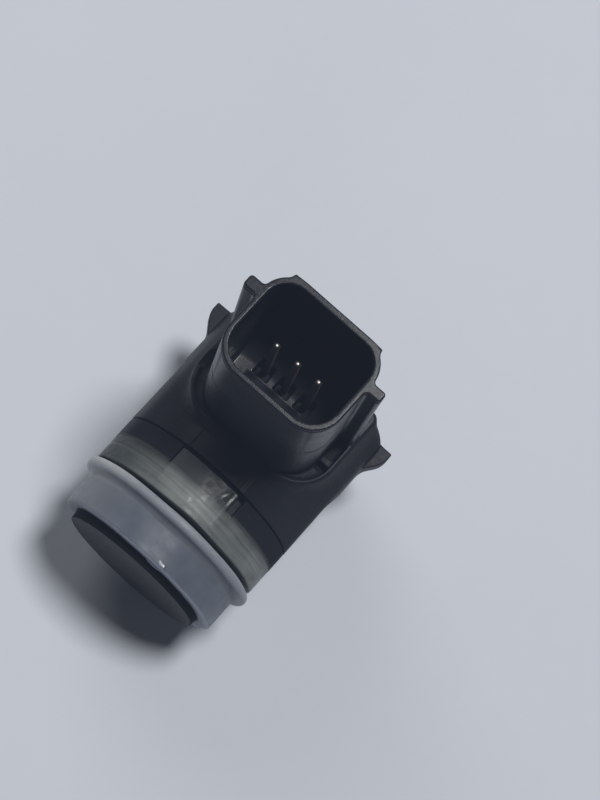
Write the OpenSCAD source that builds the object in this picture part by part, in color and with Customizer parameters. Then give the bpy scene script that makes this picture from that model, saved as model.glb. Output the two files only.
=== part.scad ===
// Ultrasonic distance sensor of the bumper type: an aluminium transducer pot in a slip-on
// decoupling ring, a round housing with an upright three-way connector, and the electronics.
// The origin is the centre of the sounding face. The beam leaves along -Y, the body runs
// back along +Y and the connector stands up along +Z. Millimetres.

/* [Transducer] */
// Radius of the aluminium pot and of its sounding face
pot_r = 7.9; // [7.8:0.05:7.95]
// Depth of the pot from the face to the back of its flange
pot_depth = 9; // [8.9:0.05:9]
// Side wall of the pot
pot_wall = 0.9; // [0.7:0.1:1.2]
// Thickness of the membrane, the pot's closed end
membrane_t = 0.7; // [0.5:0.05:0.8]
// Radius of the piezo disc behind the membrane
piezo_r = 3.5; // [3:0.1:3.9]
// Thickness of the piezo disc
piezo_t = 0.3; // [0.2:0.05:0.4]

/* [Decoupling ring] */
// Distance from the face back to the front edge of the ring
nose_front_y = 0.78; // [0.6:0.02:1]
// Outer radius of the ring's barrel, which sits in the bumper's holder
nose_r = 9.4; // [9.2:0.05:9.6]
// Where the barrel meets the flange
nose_crease_y = 4.7; // [4.4:0.05:4.9]
// Back of the flange
nose_back_y = 5.77; // [5.6:0.05:5.85]
// Outer radius of the flange
nose_flange_r = 10.46; // [10.3:0.02:10.6]
// Radial running clearance between the ring and the pot
nose_clearance = 0.08; // [0.04:0.01:0.1]
// Radius of the ring's soft front edge
nose_edge_r = 0.3; // [0.2:0.1:1]

/* [Inner ring and collar] */
// Front of the fixed inner ring
inner_ring_y = 6.15; // [6.1:0.05:6.4]
// Radius of the inner ring and of the collar
collar_r = 10.08; // [10:0.02:10.1]
// Front edge of the retaining collar
collar_y = 9; // [8.9:0.05:9.1]
// Seam between the collar and the housing
seam_y = 11.24; // [11.2:0.02:11.6]
// Width of the seam
seam_gap = 0.12; // [0.1:0.02:0.2]
// Half the width of each window in the collar
window_half_w = 4; // [3.8:0.1:4.4]

/* [Housing] */
// Outer radius of the round body
body_r = 10.1; // [10.08:0.01:10.2]
// Radius of the bore that holds the electronics
bore_r = 8.9; // [8.85:0.05:9]
// Back end of the body
body_end_y = 26.3; // [26.1:0.1:26.8]
// Tip of the two snap barbs, from the body's axis
barb_tip_x = 11.6; // [11:0.1:11.8]
// Height of each barb along Z
barb_h = 2; // [1.5:0.5:4]
// Height of the flat boss round the connector's foot
boss_z = 9.3; // [9:0.1:9.6]
// Half the width of the boss
boss_half_w = 8.5; // [8.4:0.05:8.6]
// Depth of the groove inside the boss's lip
groove_depth = 1.5; // [1:0.1:1.6]

/* [Connector] */
// Top rim of the connector's shroud
shroud_top_z = 28.3; // [26:0.1:29]
// Half the width of the shroud, outside
shroud_half_w = 6.55; // [6.4:0.05:6.7]
// Wall of the shroud
shroud_wall = 0.62; // [0.55:0.01:0.7]
// Front and back of the shroud, outside
shroud_front_y = 15.26; // [15.2:0.02:15.4]
shroud_back_y = 25.92; // [25.8:0.02:26]
// Floor of the socket
socket_floor_z = 14; // [13:0.5:15]
// Tips of the terminal pins
pin_tip_z = 23.1; // [21:0.1:24]
// Distance from the face back to the row of pins
pin_y = 21.17; // [21:0.01:21.3]
// Spacing of the pins
pin_pitch = 2.54; // [2.5:0.01:2.54]
// Side of the square pins
pin_side = 0.64; // [0.6:0.01:0.64]

/* [Circuit board] */
// Half the width of the board
board_half_w = 7.5; // [7.3:0.05:7.6]
// Thickness of the board
board_t = 1; // [0.8:0.1:1]
// Top face of the board
board_top_z = -0.5; // [-0.6:0.05:-0.4]

/* [Hidden] */
$fn = 96;
eps = 0.01;
fit_gap = 0.05;
edge_chamfer = 0.8;
ring_chamfer = 0.15;

nose_bore_r = pot_r + nose_clearance;
pot_in_r = pot_r - pot_wall;
pot_flange_r = pot_r + 0.6;
pot_flange_t = 1.1;
inner_ring_back_y = 11.08;
inner_sleeve_r = 9.05;
inner_hole_r = 6.6;
lug_half_w = window_half_w - 0.35;
skirt_r = bore_r - 0.1;
skirt_in_r = 8.05;
skirt_end_y = 14.2;
seal_y = 12.9;
seal_cord_r = 0.25;
body_front_y = seam_y + seam_gap;
barb_start_y = 22.8;
barb_full_y = 24.9;
barb_mid_z = 0.4;
barb_end_y = 26;
boss_front_y = 14.4;
groove_end_y = 21.9;
boss_corner_r = 4.2;
lip_w = 0.45;
lip_corner_r = boss_corner_r - lip_w;
front_corner_r = 3.4;
back_corner_r = 3;
back_plate_half_w = 5.2;
back_plate_t = 0.9;
rib_w = 1.55;
left_rib_y = 21.9;
left_rib_t = 1.3;
right_rib_y = 22;
right_rib_t = 1;
pocket_w = 1.75;
pocket_y = 20;
carrier_half_w = 4.2;
carrier_y = 19.4;
carrier_back_y = 23;
carrier_top_z = 11.6;
carrier_z = 1.5;
board_y = 14.6;
board_back_y = 24.6;
board_z = board_top_z - board_t;
pin_end_z = board_z - 1.1;
rail_z = board_z - fit_gap;
cover_y = 25;
cover_back_y = body_end_y - 0.1;
wire_r = 0.2;
wire_z = board_top_z + wire_r;
wire_end_y = 15.2;
signal_x = -1.8;
ground_x = 4.4;
felt_y = membrane_t + piezo_t + fit_gap;
felt_back_y = 3;
chip_at = [1.3, 17.3];
chip_side = 4.4;
core_at = [-4.6, 17.1];
core_r = 2.2;
core_h = 3.6;
core_rim_t = 0.7;
core_post_r = 1;

// ---- shared shapes ----

// Turns what is drawn along Z so that it runs along +Y.
module along_y(y = 0) {
    translate([0, y, 0]) rotate([-90, 0, 0]) children();
}

// Disc or cylinder about the beam axis, from y0 to y1.
module disc_y(r, y0, y1) {
    along_y(y0) cylinder(r = r, h = y1 - y0);
}

// Ring about the beam axis.
module tube_y(r_out, r_in, y0, y1) {
    difference() {
        disc_y(r_out, y0, y1);
        disc_y(r_in, y0 - eps, y1 + eps);
    }
}

// Solid of revolution about the beam axis. Its outline is drawn as [radius, y].
module turned_y() {
    along_y() rotate_extrude() children();
}

// Box between two corners.
module block(low, high) {
    translate(low) cube(high - low);
}

// Outline with one corner radius at the front and another at the back.
module round_outline(half_w, y0, y1, r_front, r_back) {
    for (side = [-1, 1]) {
        translate([side * (half_w - r_front), y0 + r_front]) circle(r = r_front);
        translate([side * (half_w - r_back), y1 - r_back]) circle(r = r_back);
    }
    translate([-half_w + r_front, y0]) square([2 * (half_w - r_front), y1 - y0 - r_back]);
    translate([-half_w, y0 + r_front]) square([2 * half_w, y1 - y0 - r_front - r_back]);
    translate([-half_w + r_back, y1 - r_back - eps]) square([2 * (half_w - r_back), r_back + eps]);
}

// Places a child at each of the three pins.
module at_pins() {
    for (i = [-1:1]) translate([i * pin_pitch, pin_y, 0]) children();
}

// Small brick-shaped component standing on the board.
module brick(at, size) {
    translate([at[0] - size[0] / 2, at[1] - size[1] / 2, board_top_z]) cube(size);
}

// ---- transducer ----

module membrane_pot() {
    color("dimgray") difference() {
        union() {
            along_y() cylinder(r1 = pot_r - 0.25, r2 = pot_r, h = 0.25);
            disc_y(pot_r, 0.25, pot_depth);
            disc_y(pot_flange_r, pot_depth - pot_flange_t, pot_depth);
        }
        disc_y(pot_in_r, membrane_t, pot_depth + eps);
    }
}

module piezo_disc() {
    color("wheat") disc_y(piezo_r, membrane_t, membrane_t + piezo_t);
}

// Holes that let both lead wires through a filling of the pot.
module wire_holes(y0, y1) {
    for (x = [signal_x, ground_x]) translate([x, 0, wire_z]) disc_y(wire_r + fit_gap, y0 - eps, y1 + eps);
}

module damping_felt() {
    color("lightgray") difference() {
        disc_y(pot_in_r - 0.3, felt_y, felt_back_y);
        wire_holes(felt_y, felt_back_y);
    }
}

module pot_filler() {
    color("gainsboro") difference() {
        disc_y(pot_in_r - fit_gap, felt_back_y + fit_gap, pot_depth - 0.6);
        wire_holes(felt_back_y, pot_depth);
    }
}

module lead_wire(x, y0) {
    translate([x, 0, wire_z]) disc_y(wire_r, y0, wire_end_y);
}

module lead_wire_signal() {
    color("firebrick") lead_wire(signal_x, membrane_t + piezo_t);
}

module lead_wire_ground() {
    color("black") lead_wire(ground_x, membrane_t);
}

// ---- front rings ----

module decoupling_ring() {
    flange_edge_r = (nose_back_y - nose_crease_y) / 2;
    color("lightsteelblue") difference() {
        turned_y() {
            translate([nose_r - nose_edge_r, nose_front_y + nose_edge_r]) circle(r = nose_edge_r);
            translate([nose_bore_r, nose_front_y])
                square([nose_r - nose_edge_r - nose_bore_r, nose_back_y - nose_front_y]);
            translate([nose_bore_r, nose_front_y + nose_edge_r])
                square([nose_r - nose_bore_r, nose_back_y - nose_front_y - nose_edge_r]);
            translate([nose_bore_r, nose_crease_y])
                square([nose_flange_r - flange_edge_r - nose_bore_r, 2 * flange_edge_r]);
            translate([nose_flange_r - flange_edge_r, nose_crease_y + flange_edge_r])
                circle(r = flange_edge_r);
        }
        disc_y(nose_bore_r, 0, pot_depth);
    }
}

module inner_ring() {
    color("darkseagreen") {
        turned_y() polygon([
            [pot_r + fit_gap, inner_ring_y],
            [collar_r - ring_chamfer, inner_ring_y],
            [collar_r, inner_ring_y + ring_chamfer],
            [collar_r, collar_y - 0.02],
            [inner_sleeve_r, collar_y - 0.02],
            [inner_sleeve_r, inner_ring_back_y],
            [inner_hole_r, inner_ring_back_y],
            [inner_hole_r, pot_depth + fit_gap],
            [pot_flange_r + fit_gap, pot_depth + fit_gap],
            [pot_flange_r + fit_gap, pot_depth - pot_flange_t - fit_gap],
            [pot_r + fit_gap, pot_depth - pot_flange_t - fit_gap]
        ]);
        intersection() {
            tube_y(collar_r - 0.08, inner_sleeve_r - 0.1, collar_y - 0.1, inner_ring_back_y);
            block([-lug_half_w, 0, -collar_r], [lug_half_w, seam_y, collar_r]);
        }
    }
}

module retaining_collar() {
    sleeve_in_r = inner_sleeve_r + fit_gap;
    web_y = inner_ring_back_y + fit_gap;
    color("darkslategray") difference() {
        turned_y() polygon([
            [sleeve_in_r, collar_y],
            [collar_r - 0.12, collar_y],
            [collar_r, collar_y + 0.12],
            [collar_r, seam_y],
            [skirt_r, seam_y],
            [skirt_r, skirt_end_y],
            [skirt_in_r, skirt_end_y],
            [skirt_in_r, web_y],
            [sleeve_in_r, web_y]
        ]);
        block([-window_half_w, collar_y - 1, -collar_r - 1], [window_half_w, web_y, collar_r + 1]);
        tube_y(skirt_r + 1, skirt_r - 0.45, seal_y - 0.4, seal_y + 0.4);
    }
}

module housing_seal() {
    color("black") along_y(seal_y) rotate_extrude()
        translate([bore_r - seal_cord_r - 0.02, 0]) circle(r = seal_cord_r, $fn = 48);
}

// ---- housing ----

module body_blank() {
    disc_y(body_r, body_front_y, body_end_y - edge_chamfer);
    along_y(body_end_y - edge_chamfer)
        cylinder(r1 = body_r, r2 = body_r - edge_chamfer, h = edge_chamfer);
}

module barb(side) {
    translate([0, 0, barb_mid_z - barb_h / 2]) linear_extrude(barb_h) polygon([
        [side * (body_r - 0.7), barb_start_y - 0.7],
        [side * body_r, barb_start_y],
        [side * barb_tip_x, barb_full_y],
        [side * barb_tip_x, barb_end_y],
        [side * (body_r - 0.7), barb_end_y]
    ]);
}

module boss_blank() {
    linear_extrude(boss_z)
        round_outline(boss_half_w, boss_front_y, body_end_y - 0.2, boss_corner_r, 0.6);
}

module groove() {
    translate([0, 0, boss_z - groove_depth]) linear_extrude(groove_depth + 2) difference() {
        round_outline(boss_half_w - lip_w, shroud_front_y - 0.25, groove_end_y, lip_corner_r, 0.4);
        shroud_outline();
    }
}

module shroud_outline() {
    round_outline(shroud_half_w, shroud_front_y, shroud_back_y, front_corner_r, back_corner_r);
}

module shroud_blank() {
    foot_z = boss_z - groove_depth - 1;
    translate([0, 0, foot_z]) linear_extrude(shroud_top_z - foot_z) {
        shroud_outline();
        translate([-back_plate_half_w, shroud_back_y - back_plate_t])
            square([2 * back_plate_half_w, back_plate_t]);
        translate([-shroud_half_w - rib_w, left_rib_y]) square([rib_w + 0.5, left_rib_t]);
        translate([shroud_half_w - 0.5, right_rib_y]) square([rib_w + 0.5, right_rib_t]);
    }
}

module socket() {
    translate([0, 0, socket_floor_z]) linear_extrude(shroud_top_z) round_outline(
        shroud_half_w - shroud_wall,
        shroud_front_y + shroud_wall,
        shroud_back_y - shroud_wall,
        front_corner_r - shroud_wall,
        back_corner_r - shroud_wall
    );
    at_pins() block(
        [-pocket_w / 2, pocket_y - pin_y, carrier_top_z],
        [pocket_w / 2, pin_side, socket_floor_z + 1]
    );
}

module board_rails() {
    intersection() {
        disc_y(bore_r + 0.3, board_y, board_back_y);
        for (side = [-1, 1]) block(
            [side > 0 ? board_half_w - 0.5 : -body_r, board_y, rail_z - 0.8],
            [side > 0 ? body_r : 0.5 - board_half_w, board_back_y, rail_z]
        );
    }
}

module housing() {
    color("black") {
        difference() {
            union() {
                body_blank();
                boss_blank();
                shroud_blank();
                for (side = [-1, 1]) barb(side);
                block([shroud_half_w - 0.3, 18.8, 6.5], [boss_half_w - 0.2, 19.7, boss_z - 0.3]);
            }
            disc_y(bore_r, body_front_y - 1, body_end_y + 1);
            difference() {
                groove();
                block([shroud_half_w - 0.3, 18.8, 6.5], [boss_half_w, 19.7, boss_z - 0.3]);
            }
            socket();
            block([-carrier_half_w - fit_gap, carrier_y - fit_gap, 0],
                [carrier_half_w + fit_gap, carrier_back_y + fit_gap, carrier_top_z + fit_gap]);
            intersection() {
                tube_y(body_r + 1, body_r - 0.12, body_front_y - 1, body_front_y + 2.5);
                block([-3.4, 0, 0], [3.4, body_end_y, body_r + 2]);
            }
        }
        board_rails();
    }
}

module rear_cover() {
    color("dimgray") difference() {
        union() {
            disc_y(bore_r - fit_gap, cover_y, cover_back_y);
            disc_y(1.2, cover_back_y - eps, cover_back_y + 0.1);
        }
        tube_y(7.4, 2.6, cover_back_y - 0.35, cover_back_y + 1);
    }
}

// ---- connector insides ----

module terminal_carrier() {
    color("darkolivegreen") difference() {
        block([-carrier_half_w, carrier_y, carrier_z], [carrier_half_w, carrier_back_y, carrier_top_z]);
        at_pins() block(
            [-pin_side / 2 - fit_gap / 2, -pin_side / 2 - fit_gap / 2, 0],
            [pin_side / 2 + fit_gap / 2, pin_side / 2 + fit_gap / 2, shroud_top_z]
        );
        for (side = [-1, 1]) translate([side * pin_pitch / 2, pin_y - 1.2, carrier_z - eps])
            cylinder(r = 0.5, h = 4, $fn = 24);
    }
}

module terminal_pin(index) {
    tip_h = 0.5;
    color("gold") translate([index * pin_pitch, pin_y, 0]) {
        block([-pin_side / 2, -pin_side / 2, pin_end_z], [pin_side / 2, pin_side / 2, pin_tip_z - tip_h]);
        translate([0, 0, pin_tip_z - tip_h]) linear_extrude(tip_h, scale = 0.45)
            square(pin_side, center = true);
    }
}

module terminal_pin_left() {
    terminal_pin(-1);
}

module terminal_pin_middle() {
    terminal_pin(0);
}

module terminal_pin_right() {
    terminal_pin(1);
}

// ---- electronics ----

module circuit_board() {
    color("darkgreen") difference() {
        block([-board_half_w, board_y, board_z], [board_half_w, board_back_y, board_top_z]);
        at_pins() block([-pin_side / 2 - fit_gap / 2, -pin_side / 2 - fit_gap / 2, -10],
            [pin_side / 2 + fit_gap / 2, pin_side / 2 + fit_gap / 2, 10]);
        for (side = [-1, 1]) translate([side * board_half_w, board_y + 1, board_z - eps])
            cylinder(r = 0.7, h = board_t + 2 * eps, $fn = 24);
    }
}

module control_chip() {
    color("black") difference() {
        translate([0, 0, 0.1]) brick(chip_at, [chip_side, chip_side, 1]);
        translate([chip_at[0] - chip_side / 2 + 0.6, chip_at[1] - chip_side / 2 + 0.6, board_top_z + 1])
            cylinder(r = 0.25, h = 1, $fn = 24);
    }
}

module chip_leads() {
    pitch = 0.65;
    color("silver") for (side = [-1, 1], i = [-2.5:2.5]) {
        x = chip_at[0] + side * (chip_side / 2 + 0.27);
        y = chip_at[1] + i * pitch;
        translate([x - 0.25, y - 0.12, board_top_z]) cube([0.5, 0.24, 0.5]);
    }
}

module transformer_core() {
    color("dimgray") translate([core_at[0], core_at[1], board_top_z]) {
        cylinder(r = core_r, h = core_rim_t);
        cylinder(r = core_post_r, h = core_h);
        translate([0, 0, core_h - core_rim_t]) cylinder(r = core_r, h = core_rim_t);
    }
}

module transformer_winding() {
    z0 = board_top_z + core_rim_t + fit_gap;
    h = core_h - 2 * core_rim_t - 2 * fit_gap;
    color("peru") translate([core_at[0], core_at[1], z0]) difference() {
        cylinder(r = core_r - 0.25, h = h);
        translate([0, 0, -eps]) cylinder(r = core_post_r + fit_gap, h = h + 2 * eps);
    }
}

module storage_capacitor() {
    color("silver") translate([5.95, 21.4, board_top_z]) {
        cylinder(r = 1.4, h = 3.4);
        translate([-1.4, -1.4, 0]) cube([2.8, 2.8, 0.4]);
    }
}

module chip_capacitors() {
    color("tan") for (at = [[-6, 20.4], [-6, 22.1], [6, 17.6], [-3.2, 23.8]])
        brick(at, [2, 1.25, 0.9]);
}

module chip_resistors() {
    color("darkslategray") for (i = [0:3])
        brick([-1.2 + 1.5 * i, 23.9], [0.8, 1.2, 0.45]);
}

module timing_crystal() {
    color("lightgray") brick([6, 15.9], [2, 1.6, 0.7]);
}

module solder_joints() {
    color("lightsteelblue") {
        at_pins() translate([0, 0, board_z]) mirror([0, 0, 1]) difference() {
            cylinder(r1 = 0.85, r2 = 0.5, h = 0.7, $fn = 32);
            block([-pin_side / 2 - fit_gap / 2, -pin_side / 2 - fit_gap / 2, -1],
                [pin_side / 2 + fit_gap / 2, pin_side / 2 + fit_gap / 2, 2]);
        }
        for (x = [signal_x, ground_x]) brick([x, wire_end_y + 0.35], [0.6, 0.7, 0.45]);
    }
}

module potting_compound() {
    color("black") intersection() {
        disc_y(bore_r - fit_gap, skirt_end_y + 0.2, cover_y - fit_gap);
        block([-body_r, 0, -body_r], [body_r, body_end_y, pin_end_z - 0.2]);
    }
}

membrane_pot();
piezo_disc();
damping_felt();
pot_filler();
lead_wire_signal();
lead_wire_ground();
decoupling_ring();
inner_ring();
retaining_collar();
housing_seal();
housing();
terminal_carrier();
terminal_pin_left();
terminal_pin_middle();
terminal_pin_right();
circuit_board();
control_chip();
chip_leads();
transformer_core();
transformer_winding();
storage_capacitor();
chip_capacitors();
chip_resistors();
timing_crystal();
solder_joints();
potting_compound();
rear_cover();
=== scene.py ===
import math

import bpy
import numpy as np
from mathutils import Matrix, Vector


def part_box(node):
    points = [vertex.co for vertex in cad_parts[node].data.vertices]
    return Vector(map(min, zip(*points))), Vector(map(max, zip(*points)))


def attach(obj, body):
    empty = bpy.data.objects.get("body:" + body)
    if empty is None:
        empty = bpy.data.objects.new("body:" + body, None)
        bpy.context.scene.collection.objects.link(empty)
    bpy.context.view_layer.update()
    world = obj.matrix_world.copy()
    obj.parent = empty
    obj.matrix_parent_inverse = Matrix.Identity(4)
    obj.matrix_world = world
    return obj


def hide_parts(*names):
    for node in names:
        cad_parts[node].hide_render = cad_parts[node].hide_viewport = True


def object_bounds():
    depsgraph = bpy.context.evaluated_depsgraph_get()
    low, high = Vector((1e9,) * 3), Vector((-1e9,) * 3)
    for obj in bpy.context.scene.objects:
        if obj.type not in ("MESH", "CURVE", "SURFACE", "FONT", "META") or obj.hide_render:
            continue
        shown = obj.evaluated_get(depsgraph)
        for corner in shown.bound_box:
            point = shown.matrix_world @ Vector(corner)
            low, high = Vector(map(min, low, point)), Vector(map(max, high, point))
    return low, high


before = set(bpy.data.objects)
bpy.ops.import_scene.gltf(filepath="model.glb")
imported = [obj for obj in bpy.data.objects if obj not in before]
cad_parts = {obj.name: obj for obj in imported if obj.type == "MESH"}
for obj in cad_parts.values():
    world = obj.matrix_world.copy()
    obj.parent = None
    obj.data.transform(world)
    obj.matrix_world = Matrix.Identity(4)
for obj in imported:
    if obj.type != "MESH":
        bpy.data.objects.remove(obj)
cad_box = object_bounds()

# Lengths are in millimetres, as in the CAD source. X is to the right, Y runs from the sounding face back and
# Z is up along the connector. Meshes and shader distances are in metres.
MM = 0.001


# ---------------------------------------------------------------- sizes

def box_mm(node):
    """Lowest and highest corner of a CAD node, in millimetres."""
    low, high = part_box(node)
    return np.array(low) / MM, np.array(high) / MM


POT_LOW, POT_HIGH = box_mm("membrane_pot")
NOSE_LOW, NOSE_HIGH = box_mm("decoupling_ring")
INNER_LOW, INNER_HIGH = box_mm("inner_ring")
COLLAR_LOW, COLLAR_HIGH = box_mm("retaining_collar")
HOUSING_LOW, HOUSING_HIGH = box_mm("housing")
COVER_LOW, COVER_HIGH = box_mm("rear_cover")
PIN_LOW, PIN_HIGH = box_mm("terminal_pin_middle")

# a visual face that would touch the CAD box stays this far inside it
INSET = 0.02

# membrane pot
POT_RIM_W = 0.6
POT_RIM_T = 1.1
POT_WALL = 0.9
POT_FRONT_T = 0.7
FACE_R = POT_HIGH[0] - POT_RIM_W

# slip-on ring: a barrel with a flange, the stub of its gate and a scar at the front edge
NOSE_BARREL_R = 9.4
NOSE_FLANGE_Y0 = 4.72
NOSE_LEAN = 0.028
NOSE_BORE_GAP = 0.08
NOSE_GATE = (2.35, 1.17, 9.17)
NOSE_GATE_HALF = (0.45, 0.3)
NOSE_GATE_TILT = (0.092, 0.032)
NOSE_SCAR = (1.7, NOSE_LOW[1], 8.3)
NOSE_SCAR_HALF = (0.95, 0.16, 0.3)

# round body of the housing, with a shallow flat in front of the shroud
BODY_R = 10.1
BODY_TAPER = 0.006
BODY_Y0 = HOUSING_LOW[1]
BODY_Y1 = HOUSING_HIGH[1]
BODY_BACK_R = 0.8
BORE_R = 8.9
FLAT_Y = 11.6
FLAT_HALF = (3.45, 2.26)
FLAT_DEPTH = 0.09

# retaining collar and its windows
COLLAR_R = COLLAR_HIGH[0]
COLLAR_IN_R = 8.05
SEAM_Y = BODY_Y0 - 0.12
WINDOW_X = 0.25
WINDOW_Y = 9.0
WINDOW_HALF_W = 3.98
WINDOW_GAP = 0.05
WINDOW_ROOT_Z = 7.5

# inner ring: its bevelled front, the sleeve under the collar and the key that fills each window
SLEEVE_R = 9.05
RING_LINE_Y = 8.06
KEY_AT = (-0.12, 8.99)
KEY_HALF = (3.52, 2.06)
KEY_CREASES = (2.6, 10.2)
KEY_MOUND = (-0.05, 7.45)
RING_OVERLAP = 0.08
POT_SEAT_Y = (7.85, 9.05)

# boss under the connector. It is narrower by BOSS_UNEVEN at -X and starts that much further back at +X
BOSS_Z = 9.3
BOSS_HALF_W = 8.5
BOSS_Y0 = 14.4
BOSS_CORNER_R = 4.2
BOSS_UNEVEN = 0.35
BOSS_SPREAD = 0.2
BOSS_SPREAD_DROP = 7.4

# recess round the shroud: its lip, its depth in front, at the left and at the right, and the web across it
LIP_W = 0.5
RECESS_Y1 = 21.9
RECESS_STEP_Y = 18.05
RECESS_FRONT = 0.45
RECESS_LEFT = 0.6
RECESS_RIGHT = 1.5
WEB_LOW = (5.5, 18.9, 6.5)
WEB_HIGH = (8.35, 19.7, BOSS_Z - 0.2)
NOTCH_AT = (-7.95, 19.1)
NOTCH_HALF = (0.58, 1.0)
NOTCH_DEPTH = 0.5

# barbs that snap into the holder
BARB_X = HOUSING_HIGH[0]
BARB_ROOT_X = 7.5
BARB_Y0 = 22.5
BARB_Y1 = 25.98
BARB_Z0 = -0.58
BARB_Z1 = 1.5
BARB_RAMP = math.radians(35.5)
BARB_TOP_SLOPE = 0.06

# connector shroud with its back plate, its two keying ribs (side, y0, y1) and a fine groove under the rim
RIM_Z = HOUSING_HIGH[2]
SHROUD_HALF_W = 6.55
SHROUD_Y0 = 15.36
SHROUD_Y1 = 26.0
SHROUD_CORNER_R = (3.4, 3.0)
SHROUD_FLARE = 0.008
SHROUD_ROOT_Z = 6.8
PARTING_Z = 18.6
PLATE_HALF_W = 5.2
PLATE_T = 0.9
RIBS = ((-1, 22.02, 23.32), (1, 22.05, 23.15))
RIB_HALF_X = 1.25
RIM_GROOVE_DROP = 0.62
RIM_GROOVE_W = 0.15
RIM_GROOVE_DEPTH = 0.13

# socket, drawn in towards its floor, with a pocket in front of each pin
SHROUD_WALL = 0.62
SOCKET_CORNER_R = (2.8, 2.4)
SOCKET_DRAW = 0.03
FLOOR_Z = 14.0
POCKET_HALF_W = 0.87
POCKET_Y = (20.0, 21.7)
POCKET_Z = (11.8, 15.5)

# terminal pins
PIN_Y = (PIN_LOW[1] + PIN_HIGH[1]) / 2
PIN_SIDE = PIN_HIGH[0] - PIN_LOW[0]
PIN_PITCH = 2.54
PIN_POINT_LENGTH = 0.6

# back cover, with its ring-shaped recess and gate mark
COVER_Y1 = 26.2
COVER_RECESS_R = 5.0
COVER_RECESS_HALF_W = 2.4
COVER_RECESS_DEPTH = 0.35
COVER_GATE_R = 1.2


# ---------------------------------------------------------------- distance fields

def length(*parts):
    """Length of vectors given as separate coordinates."""
    return np.sqrt(sum(p * p for p in parts))


def share(t, start, width):
    """0 up to start, 1 from start + width on, and a straight ramp between."""
    return np.clip((t - start) / width, 0, 1)


def bell(*ratios):
    """1 at a place and falling off round it. Each ratio is a distance over a width."""
    return np.exp(-sum(t * t for t in ratios))


def fillet_union(a, b, r):
    """Union of two solids with a concave fillet of radius r where they meet."""
    u = np.maximum(r - a, 0)
    v = np.maximum(r - b, 0)
    return np.maximum(r, np.minimum(a, b)) - length(u, v)


def round_common(a, b, r):
    """Intersection of two solids with its new edge rounded to radius r."""
    u = np.maximum(r + a, 0)
    v = np.maximum(r + b, 0)
    return np.minimum(-r, np.maximum(a, b)) + length(u, v)


def round_cut(a, b, r):
    """Solid a less solid b, with the new edge rounded to radius r."""
    return round_common(a, -b, r)


def rect(u, v, half_u, half_v, r):
    """Rectangle about the origin with corner radius r."""
    qu = np.abs(u) - half_u + r
    qv = np.abs(v) - half_v + r
    return np.minimum(np.maximum(qu, qv), 0) + length(np.maximum(qu, 0), np.maximum(qv, 0)) - r


def outline(x, y, half_w, y0, y1, r_front, r_back):
    """Upright outline with one corner radius at the front and another at the back."""
    mid = (y0 + y1) / 2
    r = np.where(y < mid, r_front, r_back)
    return rect(x, y - mid, half_w, (y1 - y0) / 2, r)


def brick(x, y, z, low, high, r):
    """Block between two corners with every edge rounded to radius r."""
    q = [np.abs(t - (a + b) / 2) - (b - a) / 2 + r for t, a, b in zip((x, y, z), low, high)]
    outside = length(*(np.maximum(t, 0) for t in q))
    return np.minimum(np.maximum(np.maximum(q[0], q[1]), q[2]), 0) + outside - r


def turned(x, y, z, radius, y0, y1, r0, r1):
    """Cylinder along Y with its front edge rounded to r0 and its back edge to r1."""
    side = length(x, z) - radius
    front = round_common(side, y0 - y, r0)
    return round_common(front, y - y1, r1)


def wave(x, z, size):
    """A slow uneven ripple round the beam axis, up to about size either way."""
    angle = np.arctan2(x, z)
    return size * (0.6 * np.sin(3 * angle + 1.1) + 0.4 * np.sin(8 * angle + 0.4))


# ---------------------------------------------------------------- the housing's field

def round_body(x, y, z):
    """The round body, with the shallow flat between the collar's window and the shroud."""
    radius = BODY_R - BODY_TAPER * (y - BODY_Y0)
    body = turned(x, y, z, radius, BODY_Y0, BODY_Y1 - INSET, 0.12, BODY_BACK_R)
    flat = rect(x, y - FLAT_Y, *FLAT_HALF, 0.2)
    return body + np.where(z > 0, FLAT_DEPTH * share(-flat, 0, 0.22), 0)


def boss_edges(x):
    """Where the boss starts along Y and its half width, on the side that x is on."""
    left = x < 0
    return BOSS_Y0 + np.where(left, 0.0, BOSS_UNEVEN), BOSS_HALF_W - np.where(left, BOSS_UNEVEN, 0.0)


def boss(x, y, z):
    """The boss, whose sides spread as they run down onto the round body, the more the further back."""
    y0, half_w = boss_edges(x)
    spread = BOSS_SPREAD * np.clip(BOSS_Z - z, 0, BOSS_SPREAD_DROP) * share(y, 15.5, 4)
    sides = outline(x, y, half_w + spread, y0, BODY_Y1 - 0.2, BOSS_CORNER_R, 1.0)
    return np.maximum(round_common(sides, z - BOSS_Z, 0.38), -z)


def barb(x, y, z, side):
    """One snap barb: a ramp that rises towards the back, with a nearly flat top."""
    out = side * x
    ramp = (out - BODY_R + 0.04) * math.cos(BARB_RAMP) - (y - BARB_Y0) * math.sin(BARB_RAMP)
    wedge = round_common(ramp, out - BARB_X + INSET, 0.35)
    wedge = round_common(wedge, y - BARB_Y1, 0.12)
    wedge = round_common(wedge, BARB_ROOT_X - out, 0.1)
    top = z - BARB_Z1 - BARB_TOP_SLOPE * (BARB_X - out)
    return round_common(wedge, np.maximum(top, BARB_Z0 - z), 0.08)


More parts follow.
